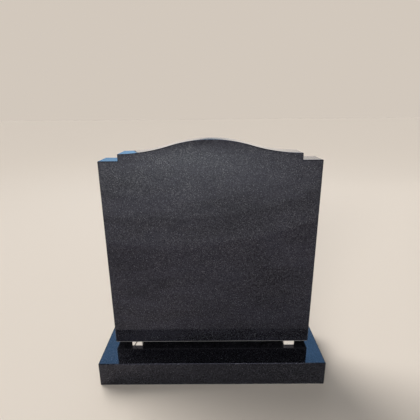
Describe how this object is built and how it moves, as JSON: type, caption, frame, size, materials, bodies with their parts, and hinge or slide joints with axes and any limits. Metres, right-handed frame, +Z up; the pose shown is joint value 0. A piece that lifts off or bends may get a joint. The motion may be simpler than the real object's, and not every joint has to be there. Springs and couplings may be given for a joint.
{
  "type": "headstone",
  "caption": "Polished black granite headstone: an ogee-topped tablet with square checks, standing on packers on a plain rectangular base.",
  "frame": {"origin": "middle of the base's underside", "axes": "+Z up, front of the tablet faces -Y, +X to the right as seen from the front"},
  "size_m": [0.676, 0.24, 0.722],
  "materials": {
    "granite_tablet": "mirror polished black granite, fine grained",
    "granite_base": "mirror polished black granite, fine grained",
    "packer": "dull cream plastic"
  },
  "bodies": {
    "root": {"tablet": "granite_tablet", "base": "granite_base", "packer_left": "packer", "packer_right": "packer"}
  },
  "joints": []
}
